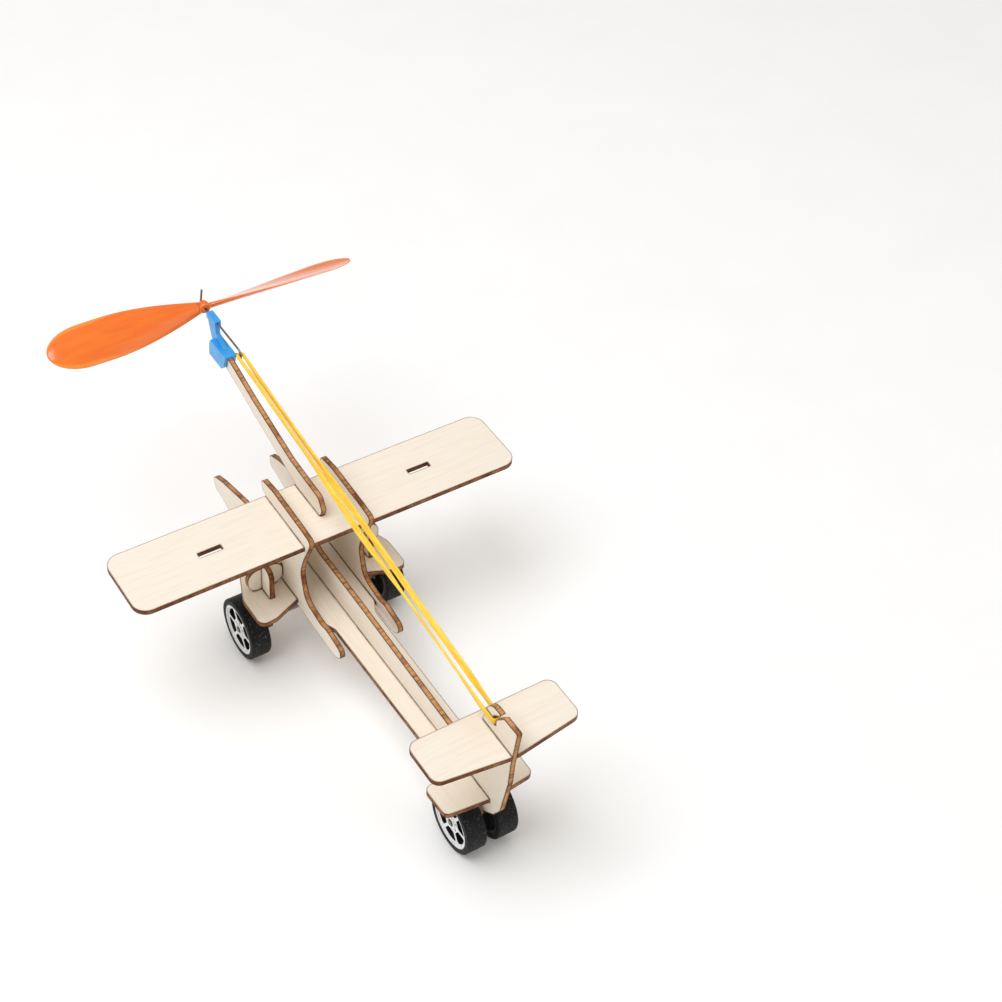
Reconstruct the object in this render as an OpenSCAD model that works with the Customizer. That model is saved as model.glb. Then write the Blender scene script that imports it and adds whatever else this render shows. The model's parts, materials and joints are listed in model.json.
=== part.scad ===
// Rubber band plane: a flat-pack toy of laser-cut plywood plates that slot into each other, with
// a wire-and-plastic propeller drive at the nose and two axles of press-on wheels.
// Millimetres. X is across the span, +Y is the nose, +Z is up; the wheels stand on Z = 0.
// Inside the modules, Y is measured from the wing's trailing edge and Z from the wing's top face;
// in_place() moves the finished piece to the shared origin.

/* [Sheet] */
// Thickness of the plywood sheet
ply = 2; // [1.8:0.1:2.2]
// Play between a plate and the slot it sits in, each side
slot_play = 0.05; // [0.02:0.01:0.1]

/* [Wing] */
// Wing span
span = 154; // [140:1:170]
// Wing chord
chord = 29.5; // [28:0.5:32]
// Radius of the wing's corners
wing_corner = 5.5; // [3:0.5:8]
// Distance of each open slot in the wing from the centre line
wing_slot_x = 42.6; // [36:0.2:50]
// Length of each open slot, along the span
wing_slot_l = 9.1; // [6:0.1:12]
// Width of each open slot
wing_slot_w = 2.4; // [2:0.1:3]

/* [Fuselage] */
// Distance of each side plate's middle from the centre line
side_x = 12.05; // [11:0.05:13]
// Depth of the lower deck's top face below the wing's top face
deck_drop = 33.05; // [32.5:0.05:33.5]
// Slope of the lower deck up towards the tail, in degrees
deck_tilt = 0.9; // [0:0.1:1.2]
// Half width of the lower deck's tail boom
boom_half_w = 8.2; // [6:0.1:9]

/* [Tail] */
// Half span of the stabilizer
stab_half = 28.2; // [24:0.2:32]
// Height of the stabilizer's top face over the wing's top face
stab_rise = 3.05; // [2.6:0.05:3.4]

/* [Wheels] */
// Radius of the tyres
tyre_r = 12.15; // [11:0.05:13]
// Width of the tyres
tyre_w = 7.9; // [6:0.1:9]
// Radius of the hub under the tyre
hub_r = 9.9; // [9.6:0.1:10]
// Radius of the axle rods
axle_r = 1; // [0.8:0.05:1.2]
// Radial play of an axle in the plywood
axle_play = 0.06; // [0.03:0.01:0.1]
// Distance of each front wheel's inner face from the centre line
front_wheel_x = 24.8; // [24:0.1:26]
// Distance of each tail wheel's inner face from the centre line
tail_wheel_x = 2.4; // [2:0.1:4]

/* [Propeller] */
// Diameter of the propeller
prop_d = 124.5; // [115:0.5:135]
// Widest chord of a blade
blade_chord = 17; // [14:0.5:18]
// Height of the propeller shaft over the wing's top face
shaft_z = 31; // [30.4:0.1:31.2]
// Radius of the shaft wire
wire_r = 0.4; // [0.35:0.05:0.45]

/* [Rubber band] */
// Thickness of the band
band_t = 0.9; // [0.8:0.05:0.9]
// Width of the band, standing on edge
band_w = 2.2; // [1.8:0.1:2.2]

/* [Hidden] */

$fn = 64;
over = 1;                       // overshoot of a cut past the face it leaves
gap = 0.15;                     // gap between two plates that stand side by side

// Lengthwise stations, from the wing's trailing edge
fin_rear = -116.9;
prop_y = 101.1;
hub_l = 3.4;
hook_ring_r = 2.2;
hook_y = 73.6;
blade_radii = [1.6, 4, 8, 13, 18, 24, 30, 36, 42, 48, 52, 55, 58, 60.5, 62, prop_d / 2];
nose_end = prop_y + max([for (r = blade_radii, p = blade_ring(r)) p.y]);
y_shift = -(nose_end + fin_rear) / 2;

// Axles
axle_z = -50.05;
wing_top = tyre_r - axle_z;
front_axle_y = 16.9;
rear_axle_y = -96.5;
bore_r = axle_r + axle_play;
bearing_r = wire_r + axle_play;

// Slots where two plates cross: each plate is cut to half of the crossing
side_wing_cross = 10.5;
centre_wing_cross = 19.2;
side_deck_cross = 16.9;
centre_deck_cross = -96.4;
stab_cross = -105.9;
stab_rear = -115.9;
cross_plate_y = 17.2;
keel_tab = [-27, -17];
fin_foot = -84;
cross_z = -27.5;
strut_x = 20.8;
strut_half = 5.8;
deck_tail_y = -106;
deck_front = 44;
deck_half = 30.7;

// Nose boom: its end inside the clip, the step of its top edge, and the line of its lower edge
boom_root = 29.5;
boom_end = 89;
boom_end_top = 21.2;
boom_shoulder = 80.7;
function boom_bottom(y) = 0.85 + 0.277 * (y - boom_root);

// Height of the lower deck's top face at a station
function deck_z(y) = -deck_drop - y * tan(deck_tilt);

// Points of a circular arc
function arc(cy, cz, r, a0, a1, n = 8) =
    [for (i = [0:n]) let (a = a0 + (a1 - a0) * i / n) [cy + r * cos(a), cz + r * sin(a)]];

// Unit vector from p towards q
function towards(p, q) = (q - p) / norm(q - p);

// The fillet that replaces the corner b of the path a, b, c
function fillet(a, b, c, r, n = 6) =
    let (u = towards(b, a), v = towards(b, c))
    let (half = acos(u * v) / 2, bis = towards([0, 0], u + v))
    let (centre = b + bis * r / sin(half))
    let (p = b + u * r / tan(half), q = b + v * r / tan(half))
    let (a0 = atan2(p.y - centre.y, p.x - centre.x))
    let (a1 = atan2(q.y - centre.y, q.x - centre.x))
    let (turn = a1 - a0 > 180 ? a1 - a0 - 360 : (a1 - a0 < -180 ? a1 - a0 + 360 : a1 - a0))
    [for (i = [0:n]) let (t = a0 + turn * i / n) centre + r * [cos(t), sin(t)]];

// An outline from corners [a, b, radius]; a radius of 0 keeps the corner sharp
function rounded(c) =
    let (m = len(c))
    [for (i = [0:m - 1])
        let (now = c[i], last = c[(i + m - 1) % m], next = c[(i + 1) % m])
        each (now[2] == 0 ? [[now.x, now.y]]
            : fillet([last.x, last.y], [now.x, now.y], [next.x, next.y], now[2]))];

// Moves a finished piece from the wing's datum to the shared origin
module in_place() {
    translate([0, y_shift, wing_top])
        children();
}

// A slab of width w in planes of constant X, its middle at x, from an outline of [y, z] points
module slab(x, w, points) {
    translate([x - w / 2, 0, 0])
        rotate([90, 0, 90])
            linear_extrude(w)
                polygon(points);
}

// A plywood plate in a plane of constant X
module lengthwise_plate(x, points) {
    slab(x, ply, points);
}

// A level plate whose top face is at z, from an outline of [x, y] points
module level_plate(z, points) {
    translate([0, 0, z - ply])
        linear_extrude(ply)
            polygon(points);
}

// A cut for a level plate that crosses a lengthwise plate at x, from y0 to y1
module level_slot(x, z, y0, y1) {
    translate([x - ply, y0, z - ply - slot_play])
        cube([2 * ply, y1 - y0, ply + 2 * slot_play]);
}

// The same cut along the sloping lower deck
module deck_slot(x, y0, y1) {
    translate([x - ply, 0, -deck_drop])
        rotate([-deck_tilt, 0, 0])
            translate([0, y0, -ply - slot_play])
                cube([2 * ply, y1 - y0, ply + 2 * slot_play]);
}

// A cut for a lengthwise plate at x, through the whole height z0 to z1
module lengthwise_slot(x, y0, y1, z0, z1) {
    translate([x - ply / 2 - slot_play, y0, z0])
        cube([ply + 2 * slot_play, y1 - y0, z1 - z0]);
}

// An outline and its mirror image across the centre line, from a starboard half that starts and
// ends on that line
function both_sides(half) =
    concat(half, [for (i = [len(half) - 2:-1:1]) [-half[i].x, half[i].y]]);

module wing() {
    outline = rounded([[-span / 2, 0, wing_corner], [span / 2, 0, wing_corner],
                       [span / 2, chord, wing_corner], [-span / 2, chord, wing_corner]]);
    color("bisque")
        in_place()
            difference() {
                level_plate(0, outline);
                for (s = [-1, 1]) {
                    lengthwise_slot(s * side_x, -over, side_wing_cross, -ply - over, over);
                    translate([s * wing_slot_x - wing_slot_l / 2, chord / 2 - wing_slot_w / 2, -ply - over])
                        cube([wing_slot_l, wing_slot_w, ply + 2 * over]);
                }
                lengthwise_slot(0, centre_wing_cross, chord + over, -ply - over, over);
            }
}

// Nose boom, pylon, keel, tail fin and tail skid in one plate
module centre_plate() {
    keel_front = 47;
    seat_front = -103.4;
    seat_rear = -105.2;
    skid_r = 3.6;
    tab_end = deck_z((keel_tab[0] + keel_tab[1]) / 2) - ply;
    outline = concat(
        [[boom_end, boom_bottom(boom_end)], [boom_end, boom_end_top], [boom_shoulder, boom_end_top]],
        rounded([[78, 20.4, 0], [61.9, 15.8, 0], [32.9, 9.3, 20], [12, 8.1, 2.5],
                 [9.2, 3.2, 2.5], [11, 0, 0]]),
        [[centre_wing_cross, 0], [centre_wing_cross, -ply]],
        rounded([[18, -ply, 0], [17, -20.3, 6], [-18, -20.3, 0], [-78, -22, 0], [-92, -21.4, 6],
                 [-96.8, -3, 12], [-98.4, 8.2, 8], [-101.4, 15, 5], [-107.7, 15, 0.4],
                 [seat_front, 11, 0.4], [seat_front, 7.2, 0.6], [seat_rear, 7.2, 0.6],
                 [seat_rear, 10.6, 0.8], [-109.1, 15.2, 0.4], [fin_rear, 15.5, 0.8],
                 [-115, -2.5, 0], [-114.7, -13, 0],
                 [-111.9, -31, 6], [-108.6, -37, 4], [-100.8, -43.6, 4],
                 [rear_axle_y - skid_r, axle_z, 0]]),
        arc(rear_axle_y, axle_z, skid_r, 195, 345),
        rounded([[rear_axle_y + skid_r, axle_z, 0], [-91.6, -42, 4], [-87, -33.6, 0],
                 [fin_foot, deck_z(fin_foot), 0], [keel_tab[0], deck_z(keel_tab[0]), 0],
                 [keel_tab[0], tab_end, 0], [keel_tab[1], tab_end, 0], [keel_tab[1], deck_z(keel_tab[1]), 0],
                 [keel_front, deck_z(keel_front), 0], [keel_front, -27, 3], [31, -19.5, 10],
                 [29.5, -6, 6], [boom_root, boom_bottom(boom_root), 0]]));
    color("burlywood")
        in_place()
            difference() {
                lengthwise_plate(0, outline);
                level_slot(0, 0, 0, centre_wing_cross);
                level_slot(0, stab_rise, stab_cross, 0);
                deck_slot(0, centre_deck_cross, fin_foot);
                translate([-ply, rear_axle_y, axle_z])
                    rotate([0, 90, 0])
                        cylinder(r = bore_r, h = 2 * ply);
            }
}

module side_plate(s) {
    outline = rounded([[31.6, 1.3, 1], [32.6, 5.9, 1.5], [24, 7.1, 10], [3.4, 6.2, 10], [-4.2, 5.4, 1.8],
                       [-2.8, 1.6, 6], [1.2, -8, 8], [3.8, -16.5, 10], [0.5, -28.6, 6], [-11, -30.6, 8],
                       [-15, -29.4, 6], [-29.5, -31.9, 2.6], [-22, -37.4, 6], [6, -36.4, 0],
                       [side_deck_cross, -36.4, 0.5], [side_deck_cross, deck_z(side_deck_cross), 0],
                       [deck_front + slot_play, deck_z(deck_front), 0],
                       [deck_front + slot_play, -36.4, 1], [58, -36.4, 6], [66.7, -33.7, 3],
                       [72.2, -32.7, 1.4], [73.2, -27.6, 2],
                       [65.9, -24.6, 6], [47.5, -19.4, 20], [29, -17.6, 10], [28.6, 0.6, 2]]);
    color("bisque")
        in_place()
            difference() {
                lengthwise_plate(s * side_x, outline);
                level_slot(s * side_x, 0, side_wing_cross, 40);
            }
}

// Lower deck: the floor between the side plates, the lower wing, the tail boom and the lower
// tail plane in one sheet
module lower_deck() {
    half = concat(
        rounded([[0, deck_front, 0], [19, deck_front, 4], [deck_half, 15.5, 10], [deck_half, 0.9, 3],
                 [24, 1.6, 4], [13, 6.2, 0]]),
        rounded([[10.9, 6.2, 0], [10.9, -8.5, 3], [boom_half_w + 0.3, -13.8, 3],
                 [boom_half_w - 0.2, -90.5, 0],
                 [17.8, -90.5, 2.6], [17.6, -104.2, 2.6], [0, deck_tail_y, 0]]));
    color("bisque")
        in_place()
            translate([0, 0, -deck_drop])
                rotate([-deck_tilt, 0, 0])
                    difference() {
                        level_plate(0, both_sides(half));
                        for (s = [-1, 1]) {
                            lengthwise_slot(s * side_x, -20, side_deck_cross + slot_play, -ply - over, over);
                            lengthwise_slot(s * strut_x, front_axle_y - strut_half - slot_play,
                                            front_axle_y + strut_half + slot_play, -ply - over, over);
                        }
                        lengthwise_slot(0, keel_tab[0] - slot_play, keel_tab[1] + slot_play,
                                        -ply - over, over);
                        lengthwise_slot(0, deck_tail_y - over, centre_deck_cross, -ply - over, over);
                    }
}

module stabilizer() {
    half = rounded([[0, -94.2, 0], [stab_half, -94.2, 3.6], [stab_half, -112.3, 3.6], [0, stab_rear, 0]]);
    color("bisque")
        in_place()
            difference() {
                level_plate(stab_rise, both_sides(half));
                lengthwise_slot(0, stab_rear - over, stab_cross, stab_rise - ply - over, stab_rise + over);
            }
}

// Upright plate that carries the front axle, pushed up through the lower deck
module strut(s) {
    shoulder = 8;
    boss_r = 3.8;
    y = front_axle_y;
    top = -20.2;
    below = deck_z(y) - ply - gap;
    outline = concat(
        rounded([[y - strut_half, below, 0], [y - strut_half, top, 3.2],
                 [y + strut_half, top, 3.2], [y + strut_half, below, 0],
                 [y + shoulder, below, 0], [y + shoulder - 1, below - 5, 5],
                 [y + boss_r, axle_z, 0]]),
        arc(y, axle_z, boss_r, -15, -165),
        rounded([[y - boss_r, axle_z, 0], [y - shoulder + 1, below - 5, 5],
                 [y - shoulder, below, 0], [y - strut_half, below, 0]]));
    color("burlywood")
        in_place()
            difference() {
                lengthwise_plate(s * strut_x, outline);
                translate([s * strut_x - ply, cross_plate_y - slot_play, cross_z])
                    cube([2 * ply, ply + 2 * slot_play, 10]);
                translate([s * strut_x - ply, y, axle_z])
                    rotate([0, 90, 0])
                        cylinder(r = bore_r, h = 2 * ply);
            }
}

// Upright plate with round ends across the strut, standing on the lower deck
module cross_plate(s) {
    foot = deck_z(cross_plate_y) + slot_play;
    top = -22.8;
    inner = side_x + ply / 2 + gap;
    outer = 27.5;
    end_r = 4.4;
    outline = rounded([[inner, foot, end_r], [outer, foot, end_r], [outer, top, end_r], [inner, top, end_r]]);
    color("bisque")
        in_place()
            difference() {
                translate([0, cross_plate_y + ply, 0])
                    rotate([90, 0, 0])
                        linear_extrude(ply)
                            polygon([for (p = outline) [s * p.x, p.y]]);
                translate([s * strut_x - ply / 2 - slot_play, 0, foot - over])
                    cube([ply + 2 * slot_play, 40, cross_z - foot + over + slot_play]);
            }
}

module axle(y, half_l) {
    color("silver")
        in_place()
            translate([-half_l, y, axle_z])
                rotate([0, 90, 0])
                    cylinder(r = axle_r, h = 2 * half_l);
}

// Six-spoke hub, its outer face towards s, its inner face at x
module hub(s, x, y) {
    inset = 0.2;
    w = tyre_w - 2 * inset;
    spokes = 6;
    web = 2;
    recess = 0.6;
    skirt = 1.2;
    lip = 0.9;
    boss_r = 2.4;
    sink = 0.7;
    sink_r = axle_r + 0.55;
    pip_r = 0.45;
    pip_at = 3.15;
    window = rounded([[4, -1.6, 0.5], [7.6, -3.75, 0.9], [8.6, 0, 5], [7.6, 3.75, 0.9], [4, 1.6, 0.5]]);
    color("whitesmoke")
        in_place()
            translate([s * (x + inset), y, axle_z])
                rotate([0, s * 90, 0])
                    difference() {
                        union() {
                            difference() {
                                cylinder(r = hub_r, h = w);
                                translate([0, 0, -over])
                                    cylinder(r = hub_r - skirt, h = w - recess - web + over);
                                translate([0, 0, w - recess])
                                    cylinder(r = hub_r - lip, h = over);
                            }
                            cylinder(r = boss_r, h = w - inset);
                        }
                        for (i = [0:spokes - 1])
                            rotate([0, 0, i * 360 / spokes])
                                translate([0, 0, w - web - over])
                                    linear_extrude(web + 2 * over)
                                        polygon(window);
                        for (i = [0:spokes - 1])
                            rotate([0, 0, i * 360 / spokes])
                                translate([pip_at, 0, w - recess - pip_r])
                                    cylinder(r = pip_r, h = over, $fn = 24);
                        translate([0, 0, -over])
                            cylinder(r = axle_r, h = w + 2 * over);
                        translate([0, 0, w - inset - sink])
                            cylinder(r = sink_r, h = over);
                    }
}

// Tyre with rounded shoulders over a hub
module tyre(s, x, y) {
    shoulder = 0.7;
    profile = rounded([[hub_r, 0, 0], [tyre_r, 0, shoulder], [tyre_r, tyre_w, shoulder], [hub_r, tyre_w, 0]]);
    color("dimgray")
        in_place()
            translate([s * x, y, axle_z])
                rotate([0, s * 90, 0])
                    rotate_extrude($fn = 96)
                        polygon(profile);
}

// Moulded clip over the boom's end with the propeller bearing on top
module bearing_clip() {
    wall = 1.4;
    outer_w = ply + 2 * wall;
    bearing_w = 2.5;
    bearing_foot = shaft_z - 1.4;
    bearing_top = 1.2;
    bearing_rear = 89.6;
    bearing_l = 7;
    post_w = 1.8;
    shell = [[93.6, 14.5], [93.2, 19.6], [92.2, 22.4], [80, 22.4], [81.6, 16.9], [83.6, 14.5]];
    post = [[83.5, 21], [84, 22.6], [88, 24.4], [89.9, 26.4], [90.2, shaft_z - 0.9], [96.4, shaft_z - 0.9],
            [95.6, 27], [94.2, 23], [92.6, 19]];
    socket = [[70, boom_bottom(70) - slot_play], [boom_end + slot_play, boom_bottom(boom_end) - slot_play],
              [boom_end + slot_play, boom_end_top + slot_play], [boom_shoulder, boom_end_top + slot_play],
              [70, 18.4]];
    color("dodgerblue")
        in_place()
            difference() {
                union() {
                    slab(0, outer_w, rounded([for (p = shell) [p.x, p.y, 0.6]]));
                    slab(0, post_w, post);
                    slab(0, bearing_w, rounded([[bearing_rear, bearing_foot, 0.4],
                                                [bearing_rear + bearing_l, bearing_foot, 0.4],
                                                [bearing_rear + bearing_l, shaft_z + bearing_top, 0.4],
                                                [bearing_rear, shaft_z + bearing_top, 0.4]]));
                }
                lengthwise_plate(0, socket);
                translate([0, 80, shaft_z])
                    rotate([-90, 0, 0])
                        cylinder(r = bearing_r, h = 30);
            }
}

// Steel wire: upright end in front of the propeller, straight shaft, ring hook behind
module prop_shaft() {
    bend_r = 0.7;
    bend_y = prop_y + hub_l / 2 + slot_play;
    lean = 12;
    upright_l = 6.3;
    color("slategray")
        in_place()
            translate([0, 0, shaft_z]) {
                translate([0, hook_y, 0])
                    rotate([-90, 0, 0])
                        cylinder(r = wire_r, h = bend_y - hook_y);
                translate([0, bend_y, bend_r])
                    rotate([90, 0, 90])
                        rotate([0, 0, -90])
                            rotate_extrude(angle = 90 + lean)
                                translate([bend_r, 0])
                                    circle(r = wire_r, $fn = 32);
                translate([0, bend_y, bend_r])
                    rotate([lean, 0, 0])
                        translate([0, bend_r, 0])
                            cylinder(r = wire_r, h = upright_l);
                translate([0, hook_y, -hook_ring_r])
                    rotate([90, 0, 90])
                        rotate([0, 0, 90])
                            rotate_extrude(angle = 235)
                                translate([hook_ring_r, 0])
                                    circle(r = wire_r, $fn = 32);
            }
}

// One ring of points of a blade section at radius r: chord, pitch and thickness follow the radius
function blade_c(r) =
    let (t = (r - 2) / (prop_d / 2 - 2))
    r < 48 ? 4.6 + (blade_chord - 4.6) * sin(90 * min(1, t * 1.55))
           : blade_chord * sqrt(max(0.012, 1 - pow((r - 48) / (prop_d / 2 - 48), 2)));
function blade_pitch(r) = 39 - 14 * r / (prop_d / 2);
function blade_t(r) = 2.4 - 1.6 * min(1, r / 45);
function blade_ring(r, n = 12) =
    let (c = blade_c(r), p = blade_pitch(r), t = blade_t(r), camber = 0.06 * c)
    [for (i = [0:n - 1])
        let (a = 360 * i / n, u = c / 2 * cos(a), v = t / 2 * sin(a) + camber * (1 - pow(cos(a), 2)))
        [-r, u * cos(p) - v * sin(p), u * sin(p) + v * cos(p)]];

module blade() {
    n = 12;
    m = len(blade_radii);
    points = [for (r = blade_radii) each blade_ring(r, n)];
    sides = [for (k = [0:m - 2], i = [0:n - 1])
        let (a = k * n + i, b = k * n + (i + 1) % n)
        each [[a, b, b + n], [a, b + n, a + n]]];
    polyhedron(points = points,
               faces = concat(sides, [[for (i = [n - 1:-1:0]) i]], [[for (i = [0:n - 1]) (m - 1) * n + i]]));
}

module propeller() {
    rest_turn = 0.8;
    prop_hub_r = 2.3;
    color("orange")
        in_place()
            translate([0, prop_y, shaft_z])
                difference() {
                    union() {
                        for (half = [0, 180])
                            rotate([0, half + rest_turn, 0])
                                blade();
                        translate([0, -hub_l / 2, 0])
                            rotate([-90, 0, 0])
                                cylinder(r = prop_hub_r, h = hub_l);
                    }
                    translate([0, -hub_l, 0])
                        rotate([-90, 0, 0])
                            cylinder(r = wire_r, h = 2 * hub_l);
                }
}

// Routes of the band's two strands from the hook to the fin, by hand: [x, y, z, lean]. The lean
// turns the flat of the band about its run: both stand at the nose, then the starboard strand lies over
BAND_PORT = [[-1.15, 71.5, 29.1, 0], [-0.9, 60, 27.8, 0], [-1, 40, 25.4, 0], [-0.7, 22, 22.8, 0],
             [-0.9, -2, 19.4, -45], [-1.3, -18, 17.4, -45], [-1, -34, 15.6, -10], [-1, -50, 13.8, 20],
             [-1.3, -80, 10.9, 25], [-1.6, -97, 9.4, 0], [-1.5, -103.5, 8.8, 0]];
BAND_STBD = [[1.15, 71.5, 29.1, 0], [0.8, 60, 27.8, 0], [0.8, 40, 25.4, 0], [1.1, 22, 22.8, 0],
             [1.8, -2, 19.4, -45], [1.9, -18, 17.4, -45], [1.9, -34, 15.6, -50], [1.7, -50, 13.8, -60],
             [1.7, -80, 10.9, -60], [1.5, -97, 9.4, 0], [1.5, -103.5, 8.8, 0]];
band_hook_w = 1.4;
band_full_y = 62;

function route_at(route, y, i = 0) =
    i >= len(route) - 2 || y >= route[i + 1].y
        ? let (a = route[i], b = route[i + 1]) a + (b - a) * (y - a.y) / (b.y - a.y)
        : route_at(route, y, i + 1);

// The band is drawn in where it passes through the hook
function band_squeeze(y) = y < band_full_y ? 1
    : 1 - (1 - band_hook_w / band_w) * min(1, (y - band_full_y) / (BAND_PORT[0].y - band_full_y));

module rubber_band() {
    steps = 26;
    seat_squash = 0.55;
    first = BAND_STBD[0];
    last = BAND_STBD[len(BAND_STBD) - 1];
    stations = [for (i = [0:steps]) first.y + (last.y - first.y) * i / steps];
    front_turn = [for (a = [150:-30:30]) [first.x * cos(a), first.y + first.x * sin(a), first.z, 0]];
    rear_turn = [for (a = [-30:-30:-150])
        [last.x * cos(a), last.y + last.x * seat_squash * sin(a), last.z, 0]];
    path = concat(front_turn, [for (y = stations) route_at(BAND_STBD, y)], rear_turn,
                  [for (i = [steps:-1:0]) route_at(BAND_PORT, stations[i])]);
    m = len(path);
    corner = 0.25;
    u = band_t / 2;
    v = band_w / 2;
    section = [[u - corner, -v], [u, corner - v], [u, v - corner], [u - corner, v],
               [corner - u, v], [-u, v - corner], [-u, corner - v], [corner - u, -v]];
    k = len(section);
    points = [for (i = [0:m - 1])
        let (p = path[i], d = path[(i + 1) % m] - path[(i + m - 1) % m])
        let (out = [d.y, -d.x, 0] / norm([d.y, -d.x]), up = [0, 0, 1])
        let (lean = out.x < 0 ? -p[3] : p[3])
        let (wide = up * cos(lean) - out * sin(lean), thick = out * cos(lean) + up * sin(lean))
        each [for (q = section) [p.x, p.y, p.z] + thick * q.x + wide * q.y * band_squeeze(p.y)]];
    faces = [for (i = [0:m - 1], j = [0:k - 1])
        let (a = i * k + j, b = i * k + (j + 1) % k, c = ((i + 1) % m) * k + (j + 1) % k,
             d = ((i + 1) % m) * k + j)
        each [[a, b, c], [a, c, d]]];
    color("gold")
        in_place()
            polyhedron(points = points, faces = faces);
}

wing();
centre_plate();
side_plate(-1);  // side_plate_left
side_plate(1);  // side_plate_right
lower_deck();
stabilizer();
strut(-1);  // strut_left
strut(1);  // strut_right
cross_plate(-1);  // cross_plate_left
cross_plate(1);  // cross_plate_right
axle(front_axle_y, front_wheel_x + tyre_w);  // front_axle
axle(rear_axle_y, tail_wheel_x + tyre_w);  // rear_axle
hub(-1, front_wheel_x, front_axle_y);  // hub_front_left
hub(1, front_wheel_x, front_axle_y);  // hub_front_right
hub(-1, tail_wheel_x, rear_axle_y);  // hub_rear_left
hub(1, tail_wheel_x, rear_axle_y);  // hub_rear_right
tyre(-1, front_wheel_x, front_axle_y);  // tyre_front_left
tyre(1, front_wheel_x, front_axle_y);  // tyre_front_right
tyre(-1, tail_wheel_x, rear_axle_y);  // tyre_rear_left
tyre(1, tail_wheel_x, rear_axle_y);  // tyre_rear_right
bearing_clip();
prop_shaft();
propeller();
rubber_band();
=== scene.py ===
import json
import math

import bmesh
import bpy
from mathutils import Matrix, Vector


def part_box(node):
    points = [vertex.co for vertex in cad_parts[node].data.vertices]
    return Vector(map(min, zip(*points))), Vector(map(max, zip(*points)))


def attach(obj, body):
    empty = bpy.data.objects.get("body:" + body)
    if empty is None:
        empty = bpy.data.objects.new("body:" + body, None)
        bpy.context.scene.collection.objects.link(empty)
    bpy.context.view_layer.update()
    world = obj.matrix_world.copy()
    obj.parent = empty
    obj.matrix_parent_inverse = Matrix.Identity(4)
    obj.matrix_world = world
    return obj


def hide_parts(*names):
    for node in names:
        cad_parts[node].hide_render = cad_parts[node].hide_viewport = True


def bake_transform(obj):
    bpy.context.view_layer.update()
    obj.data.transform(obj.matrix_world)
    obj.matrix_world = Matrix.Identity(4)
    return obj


MM = 0.001

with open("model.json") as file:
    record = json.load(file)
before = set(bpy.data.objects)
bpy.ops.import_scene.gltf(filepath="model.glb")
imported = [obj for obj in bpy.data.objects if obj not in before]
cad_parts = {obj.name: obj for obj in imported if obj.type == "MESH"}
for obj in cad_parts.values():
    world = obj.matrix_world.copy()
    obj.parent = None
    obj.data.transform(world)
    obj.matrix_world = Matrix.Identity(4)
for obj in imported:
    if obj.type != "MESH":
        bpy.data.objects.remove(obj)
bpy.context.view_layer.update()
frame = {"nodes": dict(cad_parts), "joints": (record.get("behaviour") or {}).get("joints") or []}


# ---------------------------------------------------------------- node helpers

class Nodes:
    """Builds one procedural material: each call adds a node and returns its output socket."""

    def __init__(self, name):
        self.material = bpy.data.materials.new(name)
        self.material.use_nodes = True
        self.tree = self.material.node_tree
        self.shader = self.tree.nodes["Principled BSDF"]

    def link(self, source, socket):
        if isinstance(source, bpy.types.NodeSocket):
            self.tree.links.new(source, socket)
        else:
            socket.default_value = source

    def node(self, kind, **settings):
        made = self.tree.nodes.new(kind)
        for key, value in settings.items():
            setattr(made, key, value)
        return made

    def place(self):
        """The point in the row frame, in metres."""
        return self.node("ShaderNodeTexCoord").outputs["Object"]

    def axis(self, vector, index):
        return self.link_in("ShaderNodeSeparateXYZ", vector).outputs[index]

    def link_in(self, kind, *sources, **settings):
        made = self.node(kind, **settings)
        for socket, source in zip(made.inputs, sources):
            self.link(source, socket)
        return made

    def math(self, operation, a, b=0.0):
        return self.link_in("ShaderNodeMath", a, b, operation=operation).outputs[0]

    def scaled(self, vector, scale):
        made = self.node("ShaderNodeVectorMath", operation="MULTIPLY")
        self.link(vector, made.inputs[0])
        self.link(scale, made.inputs[1])
        return made.outputs[0]

    def noise(self, vector, scale, detail=3.0, rough=0.5, distort=0.0):
        made = self.node("ShaderNodeTexNoise")
        self.link(vector, made.inputs["Vector"])
        made.inputs["Scale"].default_value = scale
        made.inputs["Detail"].default_value = detail
        made.inputs["Roughness"].default_value = rough
        made.inputs["Distortion"].default_value = distort
        return made.outputs["Fac"]

    def ramp(self, fac, *stops):
        """A colour ramp with stops of (position, value or colour)."""
        made = self.node("ShaderNodeValToRGB")
        self.link(fac, made.inputs["Fac"])
        elements = made.color_ramp.elements
        while len(elements) < len(stops):
            elements.new(0.5)
        for element, (position, colour) in zip(elements, stops):
            element.position = position
            if not isinstance(colour, (tuple, list)):
                colour = (colour, colour, colour)
            element.color = (*colour[:3], 1.0)
        return made.outputs["Color"]

    def mix(self, fac, a, b, blend="MIX"):
        made = self.node("ShaderNodeMix", data_type="RGBA", blend_type=blend)
        self.link(fac, made.inputs["Factor"])
        for value, socket in ((a, made.inputs["A"]), (b, made.inputs["B"])):
            if isinstance(value, (tuple, list)):
                value = (*value[:3], 1.0)
            self.link(value, socket)
        return made.outputs["Result"]

    def corners(self, reach, inside, clear=0.95):
        """1 beside a sharp outer edge (inside) or where another surface meets this one, 0 elsewhere."""
        made = self.node("ShaderNodeAmbientOcclusion", samples=6, inside=inside, only_local=inside)
        made.inputs["Distance"].default_value = reach
        return self.ramp(made.outputs["AO"], (0.5, 1.0), (clear, 0.0))

    def bump(self, height, distance, strength=1.0):
        made = self.node("ShaderNodeBump")
        made.inputs["Distance"].default_value = distance
        made.inputs["Strength"].default_value = strength
        self.link(height, made.inputs["Height"])
        self.link(made.outputs["Normal"], self.shader.inputs["Normal"])

    def set(self, **values):
        for key, value in values.items():
            if isinstance(value, (tuple, list)) and len(value) == 3:
                value = (*value, 1.0)
            self.link(value, self.shader.inputs[key.replace("_", " ")])
        return self


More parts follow.
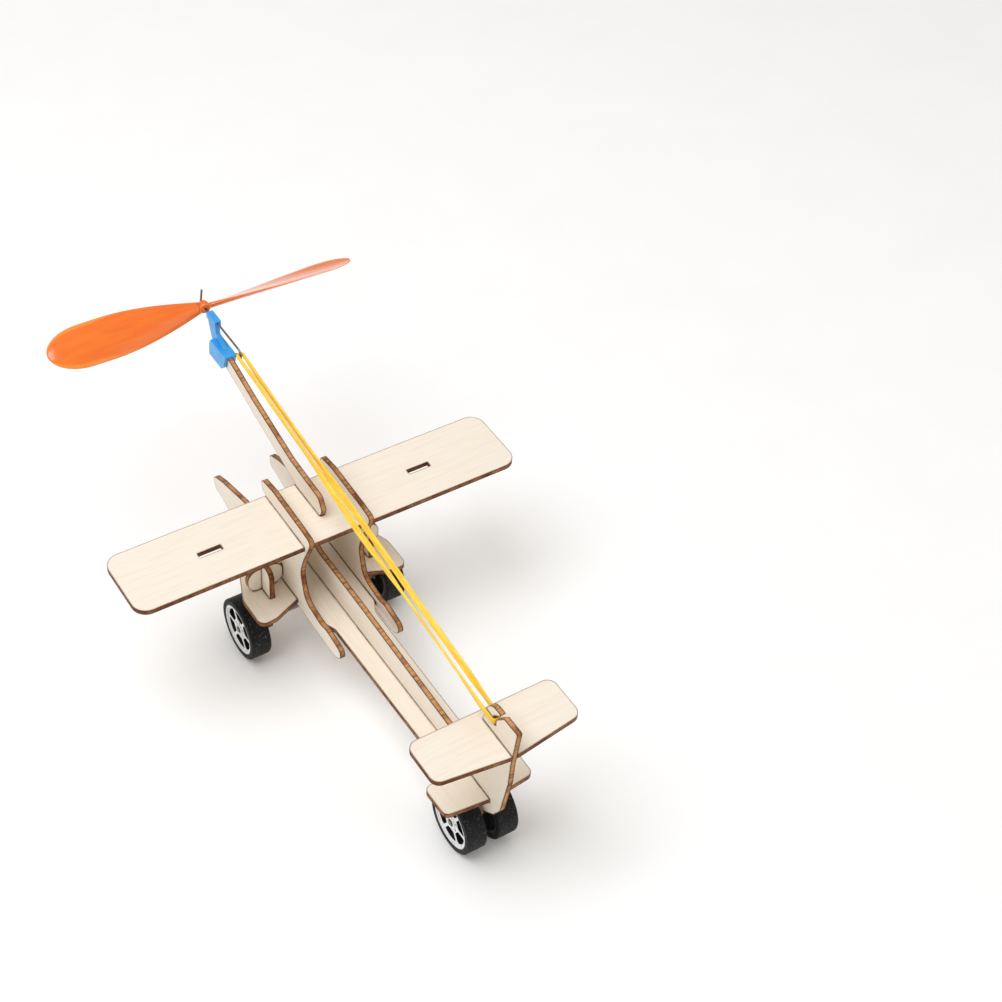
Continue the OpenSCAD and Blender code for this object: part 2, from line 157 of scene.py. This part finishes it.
def linear(r, g, b):
    """A colour given as 0 to 255 display values, as linear light."""
    def one(value):
        value = value / 255
        return value / 12.92 if value <= 0.04045 else ((value + 0.055) / 1.055) ** 2.4
    return (one(r), one(g), one(b))


# ---------------------------------------------------------------- materials

PLY = 2 * MM
# How far the scorch runs in from a cut edge, and how far the scorch and painted corner shade run out from a
# joint
RIM_REACH = 0.55 * MM
JOINT_SCORCH_AND_SHADE_REACH = 0.8 * MM
# Widths of the small rounded edges
PLATE_EDGE = 0.12 * MM
HUB_EDGE = 0.1 * MM
TYRE_EDGE = 0.15 * MM
CLIP_EDGE = 0.3 * MM


def plywood(name, across, middle, grain, burn_and_shade, tilt=0.0):
    """Laser-cut sheet whose thickness runs along axis `across`, centred at `middle`.
    The faces are pale wood with fine grain along `grain`. The cut edges show the plies and are scorched by
    the burn strength, which is also set higher on parts whose cut edges sit in shade, so it partly paints
    shade on them."""
    m = Nodes(name)
    place = m.place()
    through = m.axis(place, across)
    if tilt:
        through = m.math("SUBTRACT", through, m.math("MULTIPLY", m.axis(place, 1), tilt))
    depth = m.math("DIVIDE", m.math("SUBTRACT", through, middle), PLY)
    edge = m.math("ABSOLUTE", depth)

    stretch = [180.0, 180.0, 180.0]
    stretch[grain] = 9.0
    along = m.scaled(place, tuple(stretch))
    rings = m.noise(along, 5.0, 6.0, 0.62, 0.25)
    broad = m.noise(m.scaled(place, tuple(0.2 * s for s in stretch)), 4.0, 2.0)
    pores = m.noise(m.scaled(place, tuple((5.0 if i != grain else 1.4) * s for i, s in enumerate(stretch))),
                    6.0, 2.0)
    face = m.ramp(rings, (0.25, linear(232, 219, 201)), (0.5, linear(238, 228, 214)),
                  (0.8, linear(242, 233, 222)))
    face = m.mix(m.math("MULTIPLY", broad, 0.25), face, linear(234, 217, 194))
    face = m.mix(m.ramp(pores, (0.62, 0.0), (0.74, 0.22)), face, linear(214, 184, 148))
    smoke = m.noise(place, 420.0, 4.0, 0.6)
    rim = m.math("MULTIPLY", m.corners(RIM_REACH, True, 0.98), m.ramp(smoke, (0.3, 0.7), (0.6, 1.0)))
    face = m.mix(rim, face, linear(84, 46, 22))
    # Painted shade: the face darkens where another part meets it, as the shade in that corner, partly
    # standing for the real scorched slot edges
    joint_scorch_and_shade = m.math("MULTIPLY", m.corners(JOINT_SCORCH_AND_SHADE_REACH, False), m.ramp(smoke, (0.3, 0.6), (0.6, 1.0)))
    face = m.mix(joint_scorch_and_shade, face, linear(88, 56, 30))

    wobble = m.noise(m.scaled(place, (1500.0, 1500.0, 1500.0)), 1.0, 3.0)
    plies = m.math("ADD", edge, m.math("MULTIPLY", m.math("SUBTRACT", wobble, 0.5), 0.06))
    layers = m.ramp(plies, (0.0, linear(222, 172, 118)), (0.13, linear(210, 154, 98)),
                    (0.165, linear(128, 74, 38)), (0.2, linear(224, 176, 122)),
                    (0.33, linear(200, 140, 84)), (0.4, linear(92, 44, 20)), (0.485, linear(46, 22, 12)))
    scorch = m.noise(m.scaled(place, (150.0, 150.0, 150.0)), 1.0, 5.0, 0.65)
    beam = [900.0, 900.0, 900.0]
    beam[across] = 60.0
    lines = m.noise(m.scaled(place, tuple(beam)), 1.0, 3.0, 0.6)
    # The cut edges darken with the burn strength: real laser scorch, and on parts whose cut edges sit in
    # shade, painted shade as well
    cut = m.mix(m.ramp(scorch, (0.58 - 0.3 * burn_and_shade, 0.0), (0.74 - 0.2 * burn_and_shade, 0.8)), layers,
                linear(88, 40, 18))
    cut = m.mix(m.ramp(lines, (0.48, 0.0), (0.66, 0.6)), cut, linear(60, 28, 13))
    cut = m.mix(0.55 * burn_and_shade, cut, linear(96, 50, 26))
    is_cut = m.ramp(edge, (0.485, 1.0), (0.4995, 0.0))
    colour = m.mix(is_cut, face, cut)
    rough = m.mix(is_cut, m.ramp(rings, (0.2, 0.52), (0.8, 0.64)), (0.85, 0.85, 0.85))
    m.set(Base_Color=colour, Roughness=rough)
    m.shader.inputs["Specular IOR Level"].default_value = 0.25
    fibre = m.mix(is_cut, rings, m.math("ADD", lines, m.math("MULTIPLY", plies, 2.0)))
    m.bump(fibre, 0.00006, 0.6)
    return m.material


def moulded(name, light, dark, rough):
    m = Nodes(name)
    place = m.place()
    cloud = m.noise(place, 160.0, 4.0)
    fine = m.noise(place, 2200.0, 3.0)
    colour = m.mix(m.ramp(cloud, (0.3, 0.0), (0.7, 1.0)), dark, light)
    m.set(Base_Color=colour, Roughness=m.ramp(fine, (0.3, rough - 0.06), (0.7, rough + 0.08)))
    m.shader.inputs["Specular IOR Level"].default_value = 0.5
    m.bump(fine, 0.00003, 0.5)
    return m.material


def tyre_rubber():
    m = Nodes("tyre_rubber")
    place = m.place()
    fine = m.noise(place, 2600.0, 4.0, 0.6)
    grit = m.noise(place, 1500.0, 2.0, 0.7)
    dust = m.noise(place, 240.0, 4.0)
    colour = m.mix(m.ramp(dust, (0.4, 0.0), (0.75, 0.6)), linear(13, 14, 15), linear(30, 31, 32))
    colour = m.mix(m.ramp(grit, (0.6, 0.0), (0.7, 0.8)), colour, linear(96, 96, 97))
    m.set(Base_Color=colour, Roughness=m.ramp(fine, (0.3, 0.5), (0.7, 0.72)))
    m.shader.inputs["Specular IOR Level"].default_value = 0.22
    m.bump(m.math("ADD", fine, grit), 0.00008, 0.8)
    return m.material


def hub_plastic(node, outward):
    """Black moulding whose outer face is foiled white down to the web; walls, windows and pips stay black."""
    m = Nodes(node + "_plastic")
    place = m.place()
    low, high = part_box(node)
    face = high.x if outward > 0 else low.x
    depth = m.math("MULTIPLY", m.math("SUBTRACT", face, m.axis(place, 0)), outward / MM)
    worn = m.noise(place, 900.0, 4.0, 0.6)
    depth = m.math("ADD", depth, m.math("MULTIPLY", m.math("SUBTRACT", worn, 0.5), 0.08))
    foil = m.ramp(m.math("DIVIDE", depth, 2.0), (0.335, 1.0), (0.365, 0.0))
    cloud = m.noise(place, 300.0, 4.0)
    white = m.ramp(cloud, (0.3, linear(226, 226, 228)), (0.7, linear(242, 242, 243)))
    black = m.ramp(cloud, (0.3, linear(17, 17, 18)), (0.7, linear(30, 30, 31)))
    m.set(Base_Color=m.mix(foil, black, white), Roughness=m.ramp(worn, (0.3, 0.28), (0.7, 0.42)))
    m.bump(worn, 0.00003, 0.4)
    return m.material


def steel():
    m = Nodes("steel_wire")
    place = m.place()
    drawn = m.noise(m.scaled(place, (4000.0, 300.0, 4000.0)), 1.0, 3.0)
    colour = m.mix(drawn, linear(92, 91, 90), linear(160, 158, 156))
    m.set(Base_Color=colour, Roughness=m.ramp(drawn, (0.3, 0.24), (0.7, 0.4)))
    m.shader.inputs["Metallic"].default_value = 1.0
    m.bump(drawn, 0.00002, 0.4)
    return m.material


def band_rubber():
    m = Nodes("band_rubber")
    place = m.place()
    streak = m.noise(m.scaled(place, (1400.0, 60.0, 1400.0)), 1.0, 3.0)
    talc = m.noise(place, 900.0, 4.0)
    colour = m.mix(m.ramp(streak, (0.3, 0.0), (0.7, 1.0)), linear(236, 182, 34), linear(252, 218, 74))
    colour = m.mix(m.ramp(talc, (0.55, 0.0), (0.75, 0.4)), colour, linear(250, 224, 120))
    m.set(Base_Color=colour, Roughness=m.ramp(talc, (0.3, 0.42), (0.7, 0.6)))
    m.shader.inputs["Subsurface Weight"].default_value = 0.15
    m.shader.inputs["Subsurface Radius"].default_value = (0.002, 0.0012, 0.0004)
    m.shader.inputs["Subsurface Scale"].default_value = 1.0
    m.bump(talc, 0.00003, 0.5)
    return m.material


def paint(obj, material):
    """Puts one material on every slot of an object."""
    if not obj.data.materials:
        obj.data.materials.append(material)
    for index in range(len(obj.data.materials)):
        obj.data.materials[index] = material


def middle(node, axis):
    low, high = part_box(node)
    return (low[axis] + high[axis]) / 2


def soften(obj, width, segments=2, angle=32):
    """A small rounded edge where two faces of a CAD node meet sharply, and smooth round stretches."""
    bevel = obj.modifiers.new("edge", "BEVEL")
    bevel.width = width
    bevel.segments = segments
    bevel.limit_method = "ANGLE"
    bevel.angle_limit = math.radians(angle)
    for polygon in obj.data.polygons:
        polygon.use_smooth = True
    level = obj.modifiers.new("shading", "WEIGHTED_NORMAL")
    level.weight = 100
    level.keep_sharp = False


X, Y, Z = 0, 1, 2
nodes = frame["nodes"]

# Each row: node, the axis across the sheet, the grain axis and the edge burn strength, which is set higher
# where a part's cut edges sit in shade, as painted shade
for name, across, grain, burn_and_shade in (
        ("wing", Z, X, 0.9), ("stabilizer", Z, X, 0.9),
        ("centre_plate", X, Y, 0.25), ("side_plate_left", X, Y, 0.45), ("side_plate_right", X, Y, 0.45),
        ("strut_left", X, Z, 0.7), ("strut_right", X, Z, 0.7),
        ("cross_plate_left", Y, Z, 0.4), ("cross_plate_right", Y, Z, 0.4)):
    paint(nodes[name], plywood("plywood_" + name, across, middle(name, across), grain, burn_and_shade))
    soften(nodes[name], PLATE_EDGE)

deck_low, deck_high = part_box("lower_deck")
DECK_SLOPE = -(deck_high.z - deck_low.z - PLY) / (deck_high.y - deck_low.y)
deck_middle = (deck_low.z + deck_high.z) / 2 - DECK_SLOPE * (deck_low.y + deck_high.y) / 2
# 0.8 is the edge burn strength, raised partly as painted shade on the deck's shaded cut edges
paint(nodes["lower_deck"], plywood("plywood_lower_deck", Z, deck_middle, Y, 0.8, DECK_SLOPE))
soften(nodes["lower_deck"], PLATE_EDGE)

rubber = tyre_rubber()
wire = steel()
for end in ("front", "rear"):
    paint(nodes[end + "_axle"], wire)
    for side, outward in (("left", -1), ("right", 1)):
        hub = f"hub_{end}_{side}"
        paint(nodes[hub], hub_plastic(hub, outward))
        soften(nodes[hub], HUB_EDGE)
        paint(nodes[f"tyre_{end}_{side}"], rubber)
        soften(nodes[f"tyre_{end}_{side}"], TYRE_EDGE)

paint(nodes["prop_shaft"], wire)
for polygon in nodes["prop_shaft"].data.polygons:
    polygon.use_smooth = True
paint(nodes["bearing_clip"], moulded("clip_plastic", linear(60, 166, 232), linear(44, 146, 220), 0.3))
soften(nodes["bearing_clip"], CLIP_EDGE, 3)


# ---------------------------------------------------------------- lofted pieces

def loft(name, rings, closed=False):
    """A mesh through rings of points that all have the same count.
    A closed one joins its last ring to its first; an open one has a cap at each end."""
    mesh = bpy.data.meshes.new(name)
    bm = bmesh.new()
    rows = [[bm.verts.new(point) for point in ring] for ring in rings]
    count = len(rings[0])
    following = rows[1:] + ([rows[0]] if closed else [])
    for low, high in zip(rows, following):
        for k in range(count):
            bm.faces.new((low[k], low[(k + 1) % count], high[(k + 1) % count], high[k]))
    if not closed:
        bm.faces.new(list(reversed(rows[0])))
        bm.faces.new(rows[-1])
    bmesh.ops.recalc_face_normals(bm, faces=bm.faces)
    for face in bm.faces:
        face.smooth = True
    bm.to_mesh(mesh)
    bm.free()
    obj = bpy.data.objects.new(name, mesh)
    bpy.context.scene.collection.objects.link(obj)
    return obj


def joined(name, parts):
    """One object from several meshes."""
    bm = bmesh.new()
    for part in parts:
        bm.from_mesh(part.data)
    mesh = bpy.data.meshes.new(name)
    bm.to_mesh(mesh)
    bm.free()
    for part in parts:
        old = part.data
        bpy.data.objects.remove(part)
        bpy.data.meshes.remove(old)
    obj = bpy.data.objects.new(name, mesh)
    bpy.context.scene.collection.objects.link(obj)
    return obj


def lathe(name, centre, axis, profile, segments=96):
    """A closed solid of revolution about a line along X or Y through centre; profile is [(along, radius)]."""
    rings = []
    for k in range(segments):
        a = 2 * math.pi * k / segments
        ring = []
        for along, radius in profile:
            if axis == X:
                ring.append(centre + Vector((along, radius * math.cos(a), radius * math.sin(a))))
            else:
                ring.append(centre + Vector((radius * math.sin(a), along, radius * math.cos(a))))
        rings.append(ring)
    return loft(name, rings, closed=True)


# ---------------------------------------------------------------- propeller

shaft = next(j for j in frame["joints"] if j["name"] == "propeller_spin")
AXIS = Vector(shaft["pos_m"])
prop_low, prop_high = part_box("propeller")
BLADE_R = (prop_high.x - prop_low.x) / 2 - 0.03 * MM
BLADE_CHORD = 17 * MM
REST_TURN = math.radians(0.8)
# A blade's root, and the radius where its rounded tip starts, in mm
ROOT_R = 1.6
ROOT_CHORD = 4.6
ROOT_THICK = 2.4
TIP_STARTS = 48
ROOT_PITCH = 39
PITCH_FALL = 14
HUB_HALF = 1.7


def blade_ring(radius, count=28):
    """One section of a blade: chord, pitch and thickness change with the radius."""
    r = radius / MM
    tip = BLADE_R / MM
    wide = BLADE_CHORD / MM
    t = (r - 2) / (tip - 2)
    if r < TIP_STARTS:
        chord = ROOT_CHORD + (wide - ROOT_CHORD) * math.sin(math.pi / 2 * min(1.0, t * 1.55))
    else:
        chord = wide * math.sqrt(max(0.004, 1 - ((r - TIP_STARTS) / (tip - TIP_STARTS)) ** 2))
    pitch = math.radians(ROOT_PITCH - PITCH_FALL * r / tip)
    thick = min(ROOT_THICK - 1.6 * min(1.0, r / 45), 0.5 * chord) - 0.04
    ring = []
    for i in range(count):
        a = 2 * math.pi * i / count
        u = chord / 2 * math.cos(a)
        v = thick / 2 * math.sin(a) + 0.06 * chord * (1 - math.cos(a) ** 2)
        ring.append(Vector((-radius, (u * math.cos(pitch) - v * math.sin(pitch)) * MM,
                            (u * math.sin(pitch) + v * math.cos(pitch)) * MM)))
    return ring


def propeller():
    radii = [ROOT_R + (TIP_STARTS - ROOT_R) * i / 26 for i in range(27)]
    outer = BLADE_R / MM - TIP_STARTS
    radii += [TIP_STARTS + outer * math.sin(math.pi / 2 * i / 14) for i in range(1, 15)]
    parts = []
    for half in (0, math.pi):
        turn = Matrix.Rotation(half + REST_TURN, 4, "Y")
        rings = [[AXIS + turn @ point for point in blade_ring(r * MM)] for r in radii]
        parts.append(loft("blade", rings))
    front, back = AXIS.y + HUB_HALF * MM, AXIS.y - HUB_HALF * MM
    wall = [(back, 0.45), (back, 1.9), (back + 0.2 * MM, 2.1), (back + 0.5 * MM, 2.27),
            (front - 1.2 * MM, 2.2), (front - 0.4 * MM, 2.05), (front - 0.1 * MM, 1.85),
            (front, 1.4), (front, 0.45)]
    profile = [(along - AXIS.y, radius * MM) for along, radius in wall]
    parts.append(lathe("hub", AXIS, Y, profile, 48))
    return joined("propeller_moulding", parts)


blades = propeller()
for polygon in blades.data.polygons:
    polygon.use_smooth = True
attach(blades, "propeller_set")
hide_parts("propeller")


def propeller_plastic():
    m = Nodes("propeller_plastic")
    place = m.place()
    flow = m.noise(m.scaled(place, (60.0, 400.0, 400.0)), 1.0, 4.0, 0.55, 0.4)
    fine = m.noise(place, 1600.0, 3.0)
    colour = m.mix(m.ramp(flow, (0.3, 0.0), (0.7, 1.0)), linear(250, 110, 10), linear(253, 128, 22))
    # Painted light: the blade edges turn a lighter amber, standing in for light glowing through the thin
    # translucent rims
    painted_rim_glow = m.corners(0.5 * MM, True)
    colour = m.mix(m.math("MULTIPLY", painted_rim_glow, 0.6), colour, linear(255, 168, 58))
    m.set(Base_Color=colour, Roughness=m.ramp(fine, (0.3, 0.12), (0.7, 0.22)))
    m.shader.inputs["Transmission Weight"].default_value = 0.16
    m.shader.inputs["IOR"].default_value = 1.5
    m.shader.inputs["Coat Weight"].default_value = 0.6
    m.shader.inputs["Coat Roughness"].default_value = 0.12
    m.bump(fine, 0.00002, 0.4)
    return m.material


blades.data.materials.append(propeller_plastic())


# ---------------------------------------------------------------- rubber band

WING_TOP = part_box("wing")[1].z / MM
REAR_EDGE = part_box("wing")[0].y / MM
# Each strand from the hook to the fin: x, y, z and the lean of its flat in degrees, as in the CAD
BAND_PORT = [(-1.15, 71.5, 29.1, 0), (-0.9, 60, 27.8, 0), (-1, 40, 25.4, 0), (-0.7, 22, 22.8, 0),
             (-0.9, -2, 19.4, -45), (-1.3, -18, 17.4, -45), (-1, -34, 15.6, -10), (-1, -50, 13.8, 20),
             (-1.3, -80, 10.9, 25), (-1.6, -97, 9.4, 0), (-1.5, -103.5, 8.8, 0)]
BAND_STBD = [(1.15, 71.5, 29.1, 0), (0.8, 60, 27.8, 0), (0.8, 40, 25.4, 0), (1.1, 22, 22.8, 0),
             (1.8, -2, 19.4, -45), (1.9, -18, 17.4, -45), (1.9, -34, 15.6, -50), (1.7, -50, 13.8, -60),
             (1.7, -80, 10.9, -60), (1.5, -97, 9.4, 0), (1.5, -103.5, 8.8, 0)]
BAND_T = 0.9
BAND_W = 2.2
BAND_CORNER = 0.28
# The band is drawn in to this width at the hook, and is full behind this place
BAND_HOOK_W = 1.4
BAND_FULL_Y = 62
SEAT_SQUASH = 0.55
# The mesh stays this far inside the CAD solid
BAND_INSET = 0.01


def strand_point(route, y):
    """A point and the lean of one strand, eased between the listed ones."""
    for a, b in zip(route, route[1:]):
        if y >= b[1] or b is route[-1]:
            t = (y - a[1]) / (b[1] - a[1])
            s = t * t * (3 - 2 * t)
            point = Vector((a[0] + (b[0] - a[0]) * t, y, a[2] + (b[2] - a[2]) * t))
            return (point, a[3] + (b[3] - a[3]) * s)


def rubber_loop():
    steps = 120
    first, last = BAND_STBD[0], BAND_STBD[-1]
    stations = [first[1] + (last[1] - first[1]) * i / steps for i in range(steps + 1)]
    path = [(Vector((first[0] * math.cos(a), first[1] + first[0] * math.sin(a), first[2])), 0.0)
            for a in (math.radians(180 - 15 * k) for k in range(1, 12))]
    path += [strand_point(BAND_STBD, y) for y in stations]
    path += [(Vector((last[0] * math.cos(a), last[1] + last[0] * SEAT_SQUASH * math.sin(a), last[2])), 0.0)
             for a in (math.radians(-15 * k) for k in range(1, 12))]
    path += [strand_point(BAND_PORT, y) for y in reversed(stations)]
    count = len(path)
    half_t, half_w = BAND_T / 2 - BAND_INSET, BAND_W / 2 - BAND_INSET
    section = []
    for sx, sz, start in ((1, -1, 270), (1, 1, 0), (-1, 1, 90), (-1, -1, 180)):
        for k in range(4):
            a = math.radians(start + 30 * k)
            section.append((sx * (half_t - BAND_CORNER) + BAND_CORNER * math.cos(a),
                            sz * (half_w - BAND_CORNER) + BAND_CORNER * math.sin(a)))
    rings = []
    base = Vector((0, REAR_EDGE, WING_TOP))
    up = Vector((0, 0, 1))
    for i, (point, lean) in enumerate(path):
        along = path[(i + 1) % count][0] - path[i - 1][0]
        out = Vector((along.y, -along.x, 0)).normalized()
        turn = math.radians(-lean if out.x < 0 else lean)
        wide = up * math.cos(turn) - out * math.sin(turn)
        thick = out * math.cos(turn) + up * math.sin(turn)
        drawn_in = 1 - (1 - BAND_HOOK_W / BAND_W) * min(1.0, max(0.0, (point.y - BAND_FULL_Y)
                                                                 / (first[1] - BAND_FULL_Y)))
        rings.append([(base + point + thick * u + wide * v * drawn_in) * MM for u, v in section])
    return loft("rubber_band_loop", rings, closed=True)


band = rubber_loop()
band.data.materials.append(band_rubber())
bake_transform(band)
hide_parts("rubber_band")


# ---------------------------------------------------------------- floor, light and camera

def sweep(name, half, front, back, top, bend=0.25, steps=24):
    """A pale studio sweep: a floor that curves up into a wall far behind."""
    mesh = bpy.data.meshes.new(name)
    bm = bmesh.new()
    profile = [(-front, 0.0)]
    for i in range(steps + 1):
        a = math.pi / 2 * i / steps
        profile.append((back - bend + bend * math.sin(a), bend - bend * math.cos(a)))
    profile.append((back, top))
    rows = [[bm.verts.new((x, y, z)) for x in (-half, half)] for y, z in profile]
    for low, high in zip(rows, rows[1:]):
        bm.faces.new((low[0], low[1], high[1], high[0]))
    bm.to_mesh(mesh)
    bm.free()
    obj = bpy.data.objects.new(name, mesh)
    bpy.context.scene.collection.objects.link(obj)
    for polygon in mesh.polygons:
        polygon.use_smooth = True
    return obj


floor = sweep("studio_floor", 6.0, 6.0, 6.0, 4.0)
pale = Nodes("studio_paper")
pale.set(Base_Color=pale.ramp(pale.noise(pale.place(), 30.0),
                              (0.3, linear(250, 250, 250)), (0.7, linear(252, 252, 252))))
pale.shader.inputs["Roughness"].default_value = 0.9
pale.shader.inputs["Specular IOR Level"].default_value = 0.0
paint(floor, pale.material)


def area_light(name, place, aim, size, power, tint=(1.0, 1.0, 1.0)):
    data = bpy.data.lights.new(name, "AREA")
    data.shape = "DISK"
    data.size = size
    data.energy = power
    data.color = tint
    obj = bpy.data.objects.new(name, data)
    obj.location = place
    obj.rotation_mode = "QUATERNION"
    obj.rotation_quaternion = (Vector(aim) - Vector(place)).to_track_quat("-Z", "Y")
    bpy.context.scene.collection.objects.link(obj)


area_light("key", (-0.45, 0.05, 1.15), (0, 0, 0.04), 1.0, 9.6, (0.95, 0.97, 1.0))
area_light("fill", (0.9, -0.7, 0.8), (0, 0, 0.04), 1.2, 2.0, (1.0, 0.97, 0.93))

world = bpy.data.worlds.new("studio")
world.use_nodes = True
world.node_tree.nodes["Background"].inputs["Color"].default_value = (1.0, 0.975, 0.935, 1.0)
world.node_tree.nodes["Background"].inputs["Strength"].default_value = 0.58
bpy.context.scene.world = world
bpy.context.scene.view_settings.view_transform = "Standard"

# The camera looks down on the plane from behind its port wing
AZIMUTH = math.radians(36.39)
ELEVATION = math.radians(45.26)
ROLL = math.radians(5.0)
EYE = Vector((-233.145, -408.187, 560.710)) * MM
LENS = 69.28

ahead = Vector((math.sin(AZIMUTH) * math.cos(ELEVATION), math.cos(AZIMUTH) * math.cos(ELEVATION),
                -math.sin(ELEVATION)))
level = Vector((math.cos(AZIMUTH), -math.sin(AZIMUTH), 0.0))
right = level * math.cos(ROLL) + level.cross(ahead) * math.sin(ROLL)
up = right.cross(ahead)
lens = bpy.data.cameras.new("camera")
lens.sensor_width = 36.0
lens.lens = LENS
lens.clip_start = 0.01
lens.clip_end = 50.0
camera = bpy.data.objects.new("camera", lens)
camera.matrix_world = Matrix.Translation(EYE) @ Matrix((right, up, -ahead)).transposed().to_4x4()
bpy.context.scene.collection.objects.link(camera)
bpy.context.scene.camera = camera
